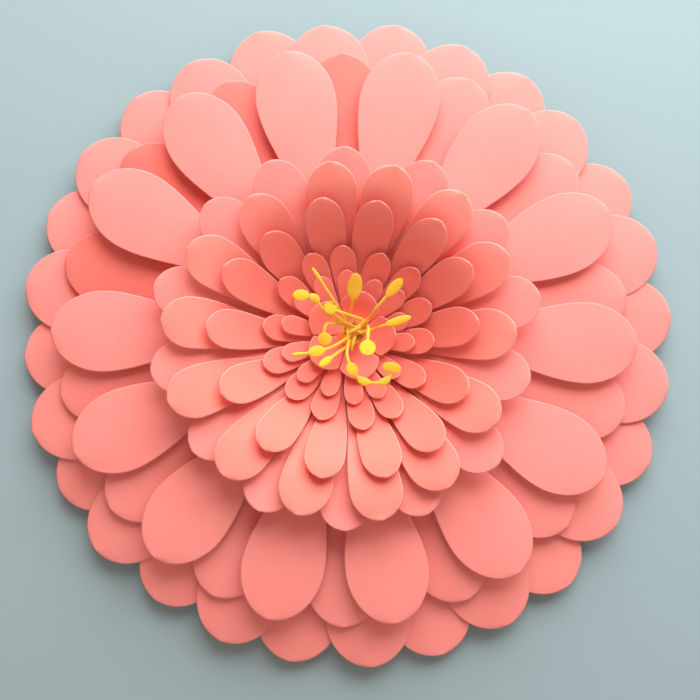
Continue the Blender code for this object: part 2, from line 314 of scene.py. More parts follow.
TINY_ROSETTE = Ring(
    name="rosette_tiny",
    root_radius=0.0115,
    flat_radius=0.0135,
    crest_radius=0.054,
    tip_radius=0.051,
    petal_width=0.0145,
    stem_width=0.0037,
    tip_length=0.0073,
    taper=1.4,
    lift=0.004,
    cup=0.0004,
    curl=0.0015,
    curl_length=0.015,
    right=0.0006,
    up=0.0003,
    first_angle=23.0,
    sway=(5, 2.5, -1.5, -4.5, 2, 0, -3, -2.5, 0, 0, 2, 2, 2, 1.5),
    reach=(-2, 3, -3, 0, -2, 2, 1, -3, -1, 1, 1, 0, 0, 0),
    # Painted shade: darker deep in the bowl.
    shade=(3, 3, 2, 2, 2, 2, 2, 1, 1, 1, 1, 1, 2, 2),
)
CENTRE_CUP = Ring(
    name="centre_cup",
    root_radius=0.010,
    flat_radius=0.011,
    crest_radius=0.040,
    tip_radius=0.035,
    petal_width=0.033,
    stem_width=0.008,
    tip_length=0.011,
    taper=0.9,
    lift=0.006,
    cup=0.0006,
    curl=0.0015,
    curl_length=0.010,
    right=0.002,
    up=0.0015,
    first_angle=20.0,
    sway=(0, -1, -3, 0, -4),
    # Painted shade: darker in the middle of the bowl.
    shade=(3, 2, 1, 1, 2),
)
RINGS = (
    OUTER_REAR,
    OUTER_FRONT,
    MIDDLE_REAR,
    MIDDLE_FRONT,
    FLAT_ROSETTE,
    CUPPED_ROSETTE,
    MEDIUM_ROSETTE,
    SMALL_ROSETTE,
    TINY_ROSETTE,
    CENTRE_CUP,
)
FIRST_ROSETTE = RINGS.index(FLAT_ROSETTE)
# From this ring on, the card is the coral with painted bowl shade.
FIRST_BOWL_SHADE_RING = RINGS.index(CUPPED_ROSETTE)
print("rings:", [ring.name for ring in RINGS])

# %% [markdown]
# ## Small helpers for node trees
# The petals and the card's grain are both made with nodes. A tree built in a script reads better when one
# call adds a node, links what goes in and hands back what comes out, so these helpers do just that. The
# same calls serve geometry trees and shader trees.


# %% Helpers that add nodes
def feed(tree, sockets, values):
    """Link or set the sockets, one after another."""
    for socket, value in zip(sockets, values):
        if isinstance(value, bpy.types.NodeSocket):
            tree.links.new(value, socket)
        elif value is not None:
            socket.default_value = value


def add_node(tree, kind, *values, **settings):
    """Add a node with its settings, and feed its input sockets in their order."""
    node = tree.nodes.new(kind)
    for name, value in settings.items():
        setattr(node, name, value)
    feed(tree, node.inputs, values)
    return node


def feed_inputs(tree, node, **values):
    """Feed some input sockets of a node by name, with an underscore for each space."""
    for label, value in values.items():
        feed(tree, [node.inputs[label.replace("_", " ")]], [value])
    return node


def calc(tree, operation, *values):
    """The result of one Math node."""
    return add_node(tree, "ShaderNodeMath", *values, operation=operation).outputs[0]


def ramp(tree, value, low, high, bottom=0.0, top=1.0, smooth=False):
    """A value mapped from low..high to bottom..top and held at the ends."""
    kind = "SMOOTHSTEP" if smooth else "LINEAR"
    ends = (low, high, bottom, top)
    return add_node(tree, "ShaderNodeMapRange", value, *ends, interpolation_type=kind).outputs[0]


def start_tree(name, kind, sockets_in, sockets_out):
    """A node tree with named inputs and outputs, and its two end nodes."""
    tree = bpy.data.node_groups.new(name, kind)
    for label, socket_kind in sockets_in:
        tree.interface.new_socket(label, in_out="INPUT", socket_type="NodeSocket" + socket_kind)
    for label, socket_kind in sockets_out:
        tree.interface.new_socket(label, in_out="OUTPUT", socket_type="NodeSocket" + socket_kind)
    return tree, tree.nodes.new("NodeGroupInput").outputs, tree.nodes.new("NodeGroupOutput").inputs


def use_group(tree, kind, group, **values):
    """Place a node group in a tree, with its inputs given by name."""
    node = tree.nodes.new(kind)
    node.node_tree = group
    return feed_inputs(tree, node, **values)


# %% [markdown]
# ## How high the card stands
# Each ring rests on the one behind it, so the height of any spot is a sum: every ring up to this one adds
# a smooth rise from its flat hub to its tip, less what its tip rolls back. One group works out the share
# of one ring. A second group holds ten of them, one for each ring, and adds those that lie at or behind
# the ring asked for. The sheets then stay parallel and never cut into each other.

# %% The rise of one ring
rise_tree, rise_in, rise_out = start_tree(
    "ring_rise",
    "GeometryNodeTree",
    (
        ("Place", "Vector"),
        ("Middle", "Vector"),
        ("Flat Radius", "Float"),
        ("Crest Radius", "Float"),
        ("Tip Radius", "Float"),
        ("Rise", "Float"),
        ("Curl", "Float"),
        ("Curl Length", "Float"),
    ),
    (("Height", "Float"), ("Share", "Float")),
)
ends = (rise_in["Place"], rise_in["Middle"])
offset = add_node(rise_tree, "ShaderNodeVectorMath", *ends, operation="SUBTRACT").outputs[0]
radius = add_node(rise_tree, "ShaderNodeVectorMath", offset, operation="LENGTH").outputs["Value"]
slope = (rise_in["Flat Radius"], rise_in["Crest Radius"])
risen = ramp(rise_tree, radius, *slope, smooth=True)
at_tip = ramp(rise_tree, rise_in["Tip Radius"], *slope, smooth=True)
share = calc(rise_tree, "DIVIDE", risen, at_tip)
curl_start = calc(rise_tree, "SUBTRACT", rise_in["Tip Radius"], rise_in["Curl Length"])
rolled = ramp(rise_tree, radius, curl_start, rise_in["Tip Radius"])
lost = calc(rise_tree, "MULTIPLY", rise_in["Curl"], calc(rise_tree, "MULTIPLY", rolled, rolled))
left = calc(rise_tree, "SUBTRACT", rise_in["Rise"], lost)
feed(rise_tree, rise_out, (calc(rise_tree, "MULTIPLY", left, share), share))
print("ring_rise nodes:", len(rise_tree.nodes))

# %% The height of the whole stack
stack_tree, stack_in, stack_out = start_tree(
    "stack_height",
    "GeometryNodeTree",
    (("Place", "Vector"), ("Ring Number", "Int")),
    (("Height", "Float"),),
)
height = DISC_THICKNESS - TAB_SINK
for level, ring in enumerate(RINGS):
    node = use_group(
        stack_tree,
        "GeometryNodeGroup",
        rise_tree,
        Place=stack_in["Place"],
        Middle=(ring.right, ring.up, 0.0),
        Flat_Radius=ring.flat_radius,
        Crest_Radius=ring.crest_radius,
        Tip_Radius=ring.tip_radius,
        Rise=ring.lift + ring.cup + ring.curl,
        Curl=ring.curl,
        Curl_Length=ring.curl_length,
    )
    step = calc(stack_tree, "ADD", node.outputs["Height"], LAYER_STEP if level else 0.0)
    reached = calc(stack_tree, "GREATER_THAN", stack_in["Ring Number"], level - 0.5)
    height = calc(stack_tree, "MULTIPLY_ADD", step, reached, height)
feed(stack_tree, stack_out, (height,))
print("stack_height nodes:", len(stack_tree.nodes))

# %% [markdown]
# ## The outline of a petal
# Every petal is a grid of squares that is bent into a petal: "across" runs from -1 at one edge to 1 at
# the other, and "along" runs from 0 at the root to 1 at the tip. This group turns those two numbers into
# a radius and a half width. The blade widens along a quarter of a sine wave, and the tip closes along a
# quarter of an ellipse, as a pair of scissors or a cutting machine would go round it.

# %% Radius and half width along a petal
TIP_START = 0.62
LAST_TURN = math.radians(88.0)
outline_tree, outline_in, outline_out = start_tree(
    "petal_outline",
    "GeometryNodeTree",
    (
        ("Along", "Float"),
        ("Root Radius", "Float"),
        ("Tip Radius", "Float"),
        ("Petal Width", "Float"),
        ("Stem Width", "Float"),
        ("Tip Length", "Float"),
        ("Taper", "Float"),
    ),
    (("Radius", "Float"), ("Half Width", "Float")),
)
blade = ramp(outline_tree, outline_in["Along"], 0.0, TIP_START)
turn = ramp(outline_tree, outline_in["Along"], TIP_START, 1.0, 0.0, LAST_TURN)
widest = calc(outline_tree, "SUBTRACT", outline_in["Tip Radius"], outline_in["Tip Length"])
reach = calc(outline_tree, "SUBTRACT", widest, outline_in["Root Radius"])
radius = calc(outline_tree, "MULTIPLY_ADD", blade, reach, outline_in["Root Radius"])
tip_part = calc(outline_tree, "SINE", turn)
radius = calc(outline_tree, "MULTIPLY_ADD", tip_part, outline_in["Tip Length"], radius)
spread = calc(outline_tree, "POWER", blade, outline_in["Taper"])
spread = calc(outline_tree, "SINE", calc(outline_tree, "MULTIPLY", spread, math.pi / 2))
half_stem = calc(outline_tree, "MULTIPLY", outline_in["Stem Width"], 0.5)
half_petal = calc(outline_tree, "MULTIPLY", outline_in["Petal Width"], 0.5)
half = calc(outline_tree, "SUBTRACT", half_petal, half_stem)
half = calc(outline_tree, "MULTIPLY_ADD", half, spread, half_stem)
half = calc(outline_tree, "MULTIPLY", half, calc(outline_tree, "COSINE", turn))
feed(outline_tree, outline_out, (radius, half))
print("petal_outline nodes:", len(outline_tree.nodes))

# %% [markdown]
# ## The petal tree
# A loose point stands for each petal and carries its clock angle and the petal's own numbers. The tree
# copies one grid onto every point, makes the copies real, and moves each vertex to its place in the ring.
# Two extra rows at the root close a whole rosette into one sheet: they are wedges that meet in the middle
# and are merged with their neighbours. A separate petal leaves them out. A little chance is added with a
# fixed seed: hand-curled card never bends twice in the same way.

# %% Start the petal tree
HUB_ROWS = 2
HUB_STEP = 0.0004
petal_tree, petal_in, petal_out = start_tree(
    "petal_ring",
    "GeometryNodeTree",
    (
        ("Points", "Geometry"),
        ("Ring Number", "Int"),
        ("Columns", "Int"),
        ("Rows", "Int"),
        ("Whole Rosette", "Bool"),
        ("Petal Count", "Int"),
        ("Middle", "Vector"),
        ("Root Radius", "Float"),
        ("Flat Radius", "Float"),
        ("Crest Radius", "Float"),
        ("Tip Radius", "Float"),
        ("Petal Width", "Float"),
        ("Stem Width", "Float"),
        ("Tip Length", "Float"),
        ("Taper", "Float"),
        ("Cup", "Float"),
        ("Hand Bend", "Float"),
        ("Hand Tilt", "Float"),
        ("Seed", "Int"),
        ("Card", "Material"),
    ),
    (("Petals", "Geometry"),),
)


def named(label):
    """A named float attribute, read inside the petal tree."""
    node = add_node(petal_tree, "GeometryNodeInputNamedAttribute", label, data_type="FLOAT")
    return node.outputs["Attribute"]


def store(geometry, label, value):
    """Geometry that carries a value for each of its points under a name."""
    kind = "GeometryNodeStoreNamedAttribute"
    node = add_node(petal_tree, kind, geometry, data_type="FLOAT", domain="POINT")
    return feed_inputs(petal_tree, node, Name=label, Value=value).outputs[0]


def pass_on(node, *labels):
    """Link inputs of the petal tree to a node's inputs of the same names."""
    feed(petal_tree, [node.inputs[label] for label in labels], [petal_in[label] for label in labels])


def petal_calc(operation, *values):
    """The result of one Math node in the petal tree."""
    return calc(petal_tree, operation, *values)


# %% Copy a grid onto the point of each petal
# The grid is two wide and one long, so that its own coordinates say where a spot is on the petal.
rows = petal_calc("ADD", petal_in["Rows"], HUB_ROWS + 1)
columns = petal_calc("ADD", petal_in["Columns"], 1)
grid = add_node(petal_tree, "GeometryNodeMeshGrid", 2.0, 1.0, columns, rows)
spot = add_node(petal_tree, "GeometryNodeInputPosition")
spot = add_node(petal_tree, "ShaderNodeSeparateXYZ", spot.outputs[0]).outputs
row = petal_calc("MULTIPLY", petal_calc("ADD", spot[1], 0.5), petal_calc("SUBTRACT", rows, 1.0))
sheet = store(grid.outputs[0], "across", spot[0])
sheet = store(sheet, "row", row)
copies = add_node(petal_tree, "GeometryNodeInstanceOnPoints", petal_in["Points"])
feed_inputs(petal_tree, copies, Instance=sheet)
sheet = add_node(petal_tree, "GeometryNodeRealizeInstances", copies.outputs[0]).outputs[0]

# %% Radius and half width of each spot
across = named("across")
row = named("row")
along = petal_calc("DIVIDE", petal_calc("SUBTRACT", row, HUB_ROWS), petal_in["Rows"])
along = petal_calc("MAXIMUM", along, 0.0)
own_tip = petal_calc("ADD", petal_in["Tip Radius"], named("reach"))
outline = use_group(petal_tree, "GeometryNodeGroup", outline_tree, Along=along, Tip_Radius=own_tip)
pass_on(outline, "Root Radius", "Petal Width", "Stem Width", "Tip Length", "Taper")
radius, half = outline.outputs
in_hub = petal_calc("LESS_THAN", row, HUB_ROWS - 0.5)
in_middle = petal_calc("LESS_THAN", row, 0.5)
radius = petal_calc("SUBTRACT", radius, petal_calc("MULTIPLY", in_hub, HUB_STEP))
radius = petal_calc("MULTIPLY", radius, petal_calc("SUBTRACT", 1.0, in_middle))

# %% Clock angle of each spot
# The middle line sways by hand up to half the petal's length and then runs straight on, and each edge
# keeps clear of the neighbour beside it.
SMALLEST_RADIUS = 0.001
SWAY_DONE = 0.5
reach = petal_calc("SUBTRACT", petal_in["Tip Radius"], petal_in["Root Radius"])
grown = petal_calc("DIVIDE", petal_calc("SUBTRACT", radius, petal_in["Root Radius"]), reach)
swung = ramp(petal_tree, grown, 0.0, SWAY_DONE, smooth=True)
sway = named("sway")
middle_angle = petal_calc("MULTIPLY_ADD", sway, swung, named("clock"))
even_space = petal_calc("DIVIDE", 360.0, petal_in["Petal Count"])
to_after = petal_calc("SUBTRACT", named("sway_after"), sway)
to_before = petal_calc("SUBTRACT", sway, named("sway_before"))
is_after = petal_calc("GREATER_THAN", across, 0.0)
swayed = petal_calc("MULTIPLY", is_after, to_after)
swayed = petal_calc("MULTIPLY_ADD", petal_calc("SUBTRACT", 1.0, is_after), to_before, swayed)
space = petal_calc("MULTIPLY_ADD", swayed, swung, even_space)
safe_radius = petal_calc("MAXIMUM", radius, SMALLEST_RADIUS)
clear_angle = petal_calc("DEGREES", petal_calc("DIVIDE", NEIGHBOUR_GAP, safe_radius))
limit = petal_calc("MULTIPLY", petal_calc("SUBTRACT", space, clear_angle), 0.5)
edge_angle = petal_calc("ARCSINE", petal_calc("MINIMUM", petal_calc("DIVIDE", half, safe_radius), 1.0))
edge_angle = petal_calc("MINIMUM", petal_calc("DEGREES", edge_angle), limit)
wedge = petal_calc("MULTIPLY", even_space, 0.5)
edge_angle = petal_calc("MULTIPLY", edge_angle, petal_calc("SUBTRACT", 1.0, in_hub))
edge_angle = petal_calc("MULTIPLY_ADD", in_hub, wedge, edge_angle)
angle = petal_calc("RADIANS", petal_calc("MULTIPLY_ADD", across, edge_angle, middle_angle))

# %% Height of each spot
LEAN_LENGTH = 0.085
SECOND_CHANCE = 50
to_right = petal_calc("MULTIPLY", radius, petal_calc("SINE", angle))
to_up = petal_calc("MULTIPLY", radius, petal_calc("COSINE", angle))
place = add_node(petal_tree, "ShaderNodeCombineXYZ", to_right, to_up, 0.0).outputs[0]
place = add_node(petal_tree, "ShaderNodeVectorMath", place, petal_in["Middle"], operation="ADD").outputs[0]
stack = use_group(petal_tree, "GeometryNodeGroup", stack_tree, Place=place)
pass_on(stack, "Ring Number")
own = use_group(petal_tree, "GeometryNodeGroup", rise_tree, Place=place)
pass_on(own, "Middle", "Flat Radius", "Crest Radius", "Tip Radius")
own_share = own.outputs["Share"]
fall = petal_calc("MULTIPLY", petal_calc("MULTIPLY", across, across), petal_in["Cup"])

# Each petal's own bend and tilt, from a fixed seed.
chance = []
for shift, label in ((0, "Hand Bend"), (SECOND_CHANCE, "Hand Tilt")):
    most = petal_in[label]
    node = add_node(petal_tree, "FunctionNodeRandomValue", data_type="FLOAT")
    ends = [socket for socket in node.inputs if socket.enabled and socket.name in ("Min", "Max")]
    feed(petal_tree, ends, [petal_calc("MULTIPLY", most, -1.0), most])
    seed = petal_calc("ADD", petal_in["Seed"], shift)
    feed_inputs(petal_tree, node, ID=named("petal_number"), Seed=seed)
    chance.append([socket for socket in node.outputs if socket.enabled][0])
bent = petal_calc("MULTIPLY_ADD", across, chance[1], chance[0])
bent = petal_calc("MULTIPLY", petal_calc("SUBTRACT", bent, fall), own_share)
lean_start = petal_calc("SUBTRACT", petal_in["Tip Radius"], LEAN_LENGTH)
leaned = ramp(petal_tree, radius, lean_start, petal_in["Tip Radius"])
leaned = petal_calc("MULTIPLY_ADD", leaned, leaned, petal_calc("MULTIPLY", leaned, -1.0))
leaned = petal_calc("MULTIPLY", leaned, named("lean"))
height = petal_calc("ADD", stack.outputs["Height"], petal_calc("ADD", bent, leaned))

# %% Move the spots and close the sheets
MERGE_DISTANCE = 0.00002
flat = add_node(petal_tree, "ShaderNodeSeparateXYZ", place).outputs
to_front = petal_calc("MULTIPLY", height, -1.0)
point = add_node(petal_tree, "ShaderNodeCombineXYZ", flat[0], to_front, flat[1])
moved = add_node(petal_tree, "GeometryNodeSetPosition", sheet)
feed_inputs(petal_tree, moved, Position=point.outputs[0])
cut = add_node(petal_tree, "GeometryNodeDeleteGeometry", moved.outputs[0], domain="FACE")
separate = add_node(petal_tree, "FunctionNodeBooleanMath", petal_in["Whole Rosette"], operation="NOT")
in_root = petal_calc("LESS_THAN", named("row"), HUB_ROWS)
unwanted = add_node(petal_tree, "FunctionNodeBooleanMath", in_root, separate.outputs[0], operation="AND")
feed_inputs(petal_tree, cut, Selection=unwanted.outputs[0])
merged = add_node(petal_tree, "GeometryNodeMergeByDistance", cut.outputs[0])
feed_inputs(petal_tree, merged, Distance=MERGE_DISTANCE)

# %% Find the cut edges and finish the tree
# A cut edge has a face on one side only. Each spot stores its distance to the nearest one.
beside = add_node(petal_tree, "GeometryNodeInputMeshEdgeNeighbors")
border = add_node(petal_tree, "GeometryNodeSeparateGeometry", merged.outputs[0], domain="EDGE")
feed_inputs(petal_tree, border, Selection=petal_calc("LESS_THAN", beside.outputs[0], 1.5))
nearest = add_node(petal_tree, "GeometryNodeProximity", border.outputs[0], target_element="EDGES")
sheet = store(merged.outputs[0], "rim", nearest.outputs["Distance"])
smooth = add_node(petal_tree, "GeometryNodeSetShadeSmooth", sheet)
finished = add_node(petal_tree, "GeometryNodeSetMaterial", smooth.outputs[0])
feed_inputs(petal_tree, finished, Material=petal_in["Card"])
feed(petal_tree, petal_out, (finished.outputs[0],))
print("petal_ring nodes:", len(petal_tree.nodes))

# %% [markdown]
# ## The card
# The flower is cut from matte card: a pinker coral for the outer rings and yellow for the stamens. The
# bowl has a deeper copy of the same coral, which is painted shade for the darker, redder light among its
# petals. Card isn't smooth: it has a fine tooth that breaks up the light, and its colour drifts slightly
# from one place to the next. Both come from noise on the object's own coordinates, which stays with the
# piece from every side. One group holds this surface, so that all three cards share it.

# %% The surface of card, as a group
FIBRES_PER_TOOTH = 3.1
FIBRE_DEPTH = 0.4
NOISE_SPAN = (0.35, 0.65)
TOOTH_DETAIL = 3.0
PLAIN_DETAIL = 2.0
surface_tree, surface_in, surface_out = start_tree(
    "card_surface",
    "ShaderNodeTree",
    (("Place", "Vector"), ("Tooth Scale", "Float"), ("Drift Scale", "Float")),
    (("Height", "Float"), ("Speckle", "Float"), ("Drift", "Float")),
)
finer = calc(surface_tree, "MULTIPLY", surface_in["Tooth Scale"], FIBRES_PER_TOOTH)
patterns = []
wanted = (
    (surface_in["Tooth Scale"], TOOTH_DETAIL),
    (finer, PLAIN_DETAIL),
    (surface_in["Drift Scale"], PLAIN_DETAIL),
)
for scale, detail in wanted:
    node = add_node(surface_tree, "ShaderNodeTexNoise")
    feed_inputs(surface_tree, node, Vector=surface_in["Place"], Scale=scale, Detail=detail)
    patterns.append(node.outputs[0])
tooth, fibre, drift = patterns
relief = calc(surface_tree, "MULTIPLY_ADD", fibre, FIBRE_DEPTH, tooth)
speckle = ramp(surface_tree, tooth, *NOISE_SPAN)
drifted = ramp(surface_tree, drift, *NOISE_SPAN)
feed(surface_tree, surface_out, (relief, speckle, drifted))
print("card_surface nodes:", len(surface_tree.nodes))

# %% [markdown]
# The cut edge of coloured card shows a thin pale line. It is partly the card's core, which is lighter
# than the faces, and partly a painted highlight where the cut edges catch the lamp. The petal tree left
# a "rim" value on each sheet, its distance to the nearest cut edge. The material colours the last half
# millimetre with it, and the same value rounds the edge off a little in the bump, as pressed card is.
# Each petal's painted shade value mixes in the card's painted shade colour, a deeper copy of its face.

# %% Make a card material
EDGE_LINE = 0.00055
EDGE_CORE = 0.4
EDGE_BUMP = 0.8
TOOTH_SCALE = 900.0
TOOTH_BUMP = 0.35
TOOTH_DEPTH = 0.0003
DRIFT_SCALE = 14.0
DRIFT_SHARE = 0.55
SPECKLE_SHARE = 0.30
ROUGHNESS_SPAN = (0.82, 0.92)
CARD_SHINE = 0.2


def mix_colour(tree, share, low, high):
    """One colour turned into another by a share."""
    node = add_node(tree, "ShaderNodeMix", data_type="RGBA")
    sockets = [node.inputs[0]] + [socket for socket in node.inputs if socket.type == "RGBA"]
    feed(tree, sockets, (share, low, high))
    return [socket for socket in node.outputs if socket.type == "RGBA"][0]


def card_material(name, face, drifted, painted_shade_colour, edge, edge_strength):
    """Matte card with tooth, drifting colour, painted shade and a pale edge, partly a painted highlight."""
    material = bpy.data.materials.new(name)
    material.use_nodes = True
    tree = material.node_tree
    shader = tree.nodes["Principled BSDF"]
    place = add_node(tree, "ShaderNodeTexCoord").outputs["Object"]
    group = use_group(tree, "ShaderNodeGroup", surface_tree, Place=place)
    surface = feed_inputs(tree, group, Tooth_Scale=TOOTH_SCALE, Drift_Scale=DRIFT_SCALE).outputs
    amount = calc(tree, "MULTIPLY", surface["Drift"], DRIFT_SHARE)
    amount = calc(tree, "MULTIPLY_ADD", surface["Speckle"], SPECKLE_SHARE, amount)
    colour = mix_colour(tree, amount, face, drifted)
    # Painted shade: each petal's value turns its card towards the deeper colour.
    painted_shade_share = add_node(tree, "ShaderNodeAttribute", attribute_name="shade").outputs["Fac"]
    colour = mix_colour(tree, painted_shade_share, colour, painted_shade_colour)
    # Pale cut edge: partly the card's lighter core, partly a painted highlight.
    rim = add_node(tree, "ShaderNodeAttribute", attribute_name="rim").outputs["Fac"]
    edge_share = ramp(tree, rim, EDGE_LINE * EDGE_CORE, EDGE_LINE, edge_strength, 0.0)
    colour = mix_colour(tree, edge_share, colour, edge)
    rounded = ramp(tree, rim, 0.0, EDGE_LINE)
    edge_bump = add_node(tree, "ShaderNodeBump")
    feed_inputs(tree, edge_bump, Strength=EDGE_BUMP, Distance=EDGE_LINE, Height=rounded)
    bump = add_node(tree, "ShaderNodeBump")
    feed_inputs(tree, bump, Strength=TOOTH_BUMP, Distance=TOOTH_DEPTH)
    feed_inputs(tree, bump, Height=surface["Height"], Normal=edge_bump.outputs[0])
    rough = ramp(tree, surface["Speckle"], 0.0, 1.0, *ROUGHNESS_SPAN)
    feed_inputs(tree, shader, Base_Color=colour, Roughness=rough, Normal=bump.outputs[0])
    feed_inputs(tree, shader, Specular_IOR_Level=CARD_SHINE)
    return material


pink_card = card_material(
    "pink_coral_card",
    face=(1.0, 0.33, 0.302, 1.0),
    drifted=(0.99, 0.295, 0.266, 1.0),
    painted_shade_colour=(0.86, 0.17, 0.13, 1.0),
    edge=(1.0, 0.55, 0.50, 1.0),
    edge_strength=0.3,
)
# A deeper copy of the pink coral: painted shade for the bowl.
coral_card = card_material(
    "coral_card_with_painted_shade",
    face=(1.0, 0.285, 0.235, 1.0),
    drifted=(0.99, 0.255, 0.205, 1.0),
    painted_shade_colour=(0.86, 0.14, 0.09, 1.0),
    edge=(1.0, 0.66, 0.58, 1.0),
    edge_strength=0.55,
)
yellow_card = card_material(
    "yellow_card",
    face=(1.0, 0.62, 0.06, 1.0),
    drifted=(0.98, 0.54, 0.035, 1.0),
    painted_shade_colour=(0.96, 0.40, 0.02, 1.0),
    edge=(1.0, 0.78, 0.22, 1.0),
    edge_strength=0.4,
)
print("materials:", pink_card.name, coral_card.name, yellow_card.name)

# %% [markdown]
# ## Making a ring
# The tree runs on a mesh of loose points. Its result is turned into a plain mesh, and a Solidify modifier
# then gives the sheet the thickness of card, growing to the front, because the tree places the sheet's
# back.

# %% Turn points into petals
SHARP_ANGLE = math.radians(40)
SEED_STEP = 7


def petal_points(ring, numbers):
    """A mesh of loose points, one for each petal, with that petal's own numbers."""
    count = len(ring.sway)
    mesh = bpy.data.meshes.new(ring.name + "_points")
    mesh.from_pydata([(0.0, 0.0, 0.0)] * len(numbers), [], [])
    columns = {
        "clock": [ring.first_angle + 360.0 * number / count for number in numbers],
        "sway": [ring.sway[number] for number in numbers],
        "sway_before": [ring.sway[number - 1] for number in numbers],
        "sway_after": [ring.sway[(number + 1) % count] for number in numbers],
        "reach": [ring.reach[number] * REACH_STEP for number in numbers],
        "lean": [ring.lean[number] * LEAN_STEP for number in numbers],
        # Painted shade for the card, as a share of its deeper colour.
        "shade": [ring.shade[number] * PAINTED_SHADE_STEP for number in numbers],
        "petal_number": numbers,
    }
    for label, values in columns.items():
        layer = mesh.attributes.new(label, "FLOAT", "POINT")
        layer.data.foreach_set("value", [float(value) for value in values])
    return mesh


def set_inputs(modifier, values):
    """Give a Geometry Nodes modifier its inputs, by the identifiers of their sockets."""
    for item in modifier.node_group.interface.items_tree:
        if item.item_type == "SOCKET" and item.in_out == "INPUT" and item.name in values:
            modifier[item.identifier] = values[item.name]


def plain_mesh(item, name):
    """The evaluated object as a new plain object, and the old one gone."""
    depsgraph = bpy.context.evaluated_depsgraph_get()
    mesh = bpy.data.meshes.new_from_object(item.evaluated_get(depsgraph))
    mesh.name = name
    bpy.data.objects.remove(item, do_unlink=True)
    mesh.set_sharp_from_angle(angle=SHARP_ANGLE)
    return add_object(name, mesh)


def make_petals(name, level, numbers, cut):
    """Petals of one ring as one finished piece of card."""
    ring = RINGS[level]
    item = add_object(name + "_points", petal_points(ring, numbers))
    modifier = item.modifiers.new("petals", "NODES")
    modifier.node_group = petal_tree
    sizes = {field.replace("_", " ").title(): getattr(ring, field) for field in ring._fields}
    values = {
        "Ring Number": level,
        "Petal Count": len(ring.sway),
        "Middle": (ring.right, ring.up, 0.0),
        "Seed": SEED_STEP * level,
        # The bowl's rings take the coral with painted shade.
        "Card": pink_card if level < FIRST_BOWL_SHADE_RING else coral_card,
    }
    set_inputs(modifier, sizes | values | cut)
    thicken = item.modifiers.new("card", "SOLIDIFY")
    thicken.thickness = SHEET_THICKNESS
    thicken.offset = 1.0
    return plain_mesh(item, name)


# %% [markdown]
# ### Big petals
# The rearmost ring is made with the backing disc in the next section. The other three rings are separate
# petals, so each one replaces its own plain node.

# %% Make the big petals
SINGLE_CUT = {"Whole Rosette": False, "Columns": 10, "Rows": 34, "Hand Bend": 0.0007, "Hand Tilt": 0.0006}
for level in range(1, FIRST_ROSETTE):
    for number in range(PETALS):
        node_name = f"{RINGS[level].name}_{number + 1:02d}"
        piece = make_petals("fine_" + node_name, level, [number], SINGLE_CUT)
        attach(piece, "root")
        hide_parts(node_name)
print("faces in one big petal:", len(piece.data.polygons))

# %% [markdown]
# ### Backing disc and rearmost ring
# The disc is a round card on the wall and is seen only from behind. The tabs of the rearmost petals are
# glued on its front. Disc and petals are joined into one piece, as they are in the plain model.

# %% Make the disc and its ring
DISC_SIDES = 96
DISC_BEVEL = 0.0003
SAME_DEPTH = 1e-6


def mesh_from(bm, name):
    """A new mesh with what a bmesh holds, and the bmesh gone."""
    mesh = bpy.data.meshes.new(name)
    bm.to_mesh(mesh)
    bm.free()
    return mesh


def smooth_card(mesh, material):
    """Give a mesh one material and smooth faces."""
    mesh.materials.append(material)
    mesh.shade_smooth()


rear = make_petals("rear_ring", 0, list(range(PETALS)), SINGLE_CUT)
bm = bmesh.new()
bm.from_mesh(rear.data)
disc = bmesh.new()
rim = []
for side in range(DISC_SIDES):
    turn = 2 * math.pi * side / DISC_SIDES
    rim.append(disc.verts.new((DISC_RADIUS * math.sin(turn), 0.0, DISC_RADIUS * math.cos(turn))))
grown = bmesh.ops.extrude_face_region(disc, geom=[disc.faces.new(rim)])
front = [part for part in grown["geom"] if isinstance(part, bmesh.types.BMVert)]
bmesh.ops.translate(disc, verts=front, vec=(0.0, -DISC_THICKNESS, 0.0))
bmesh.ops.recalc_face_normals(disc, faces=disc.faces)
edges = [edge for edge in disc.edges if abs(edge.verts[0].co.y - edge.verts[1].co.y) < SAME_DEPTH]
bmesh.ops.bevel(disc, geom=edges, offset=DISC_BEVEL, segments=2, affect="EDGES")
bm.from_mesh(mesh_from(disc, "disc"))
mesh = mesh_from(bm, "fine_backing_disc")
bpy.data.objects.remove(rear, do_unlink=True)
smooth_card(mesh, pink_card)
mesh.set_sharp_from_angle(angle=SHARP_ANGLE)
piece = add_object("fine_backing_disc", mesh)
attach(piece, "root")
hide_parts("backing_disc")
print("disc and rear ring faces:", len(mesh.polygons))

# %% [markdown]
# ### Rosettes and cup
# These rings are cut whole from one sheet, hub and all, so each is one piece.

# %% Make the rosettes and the cup
WHOLE_CUT = {"Whole Rosette": True, "Columns": 8, "Rows": 28, "Hand Bend": 0.0006, "Hand Tilt": 0.0004}
for level in range(FIRST_ROSETTE, len(RINGS)):
    node_name = RINGS[level].name
    numbers = list(range(len(RINGS[level].sway)))
    piece = make_petals("fine_" + node_name, level, numbers, WHOLE_CUT)
    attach(piece, "root")
    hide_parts(node_name)
    print(node_name, "faces:", len(piece.data.polygons))

# %% [markdown]
# ## The stamens
# One strip of yellow card is rolled up loosely at its base and stands in the cup. Its front edge is cut
# into thin filaments, which end in flat ovals. Some were cut as a chain of ovals. Most of them start on
# the far side of the roll and cross over its mouth, and four short ones without ovals lie among them.
# Each filament is a ribbon that is swept through a few stops: a smooth curve runs through them, and
# wherever a stop has a length and a width the ribbon swells to an oval. The stops are counted in
# millimetre steps, to the right and up from the middle of the roll's seat, and forward from the roll's
# front edge.

# %% Describe the roll and the stops of its filaments
ROLL_RADIUS = 0.0088
ROLL_HEIGHT = 0.012
ROLL_TURNS = 5.5
ROLL_PITCH = 0.0012
ROLL_SEAT = Vector((0.0023, 0.0, 0.0019))
ROLL_LEAN = Vector((0.0030, 0.0, 0.0020))
STAMEN_STEP = 0.001
FILAMENT_WIDTH = 0.0021


class Stop(NamedTuple):
    """A place that a filament passes, in steps; an anther is a stop with a length and a width."""

    right: float
    up: float
    height: float
    length: float = 0.0
    width: float = 0.0


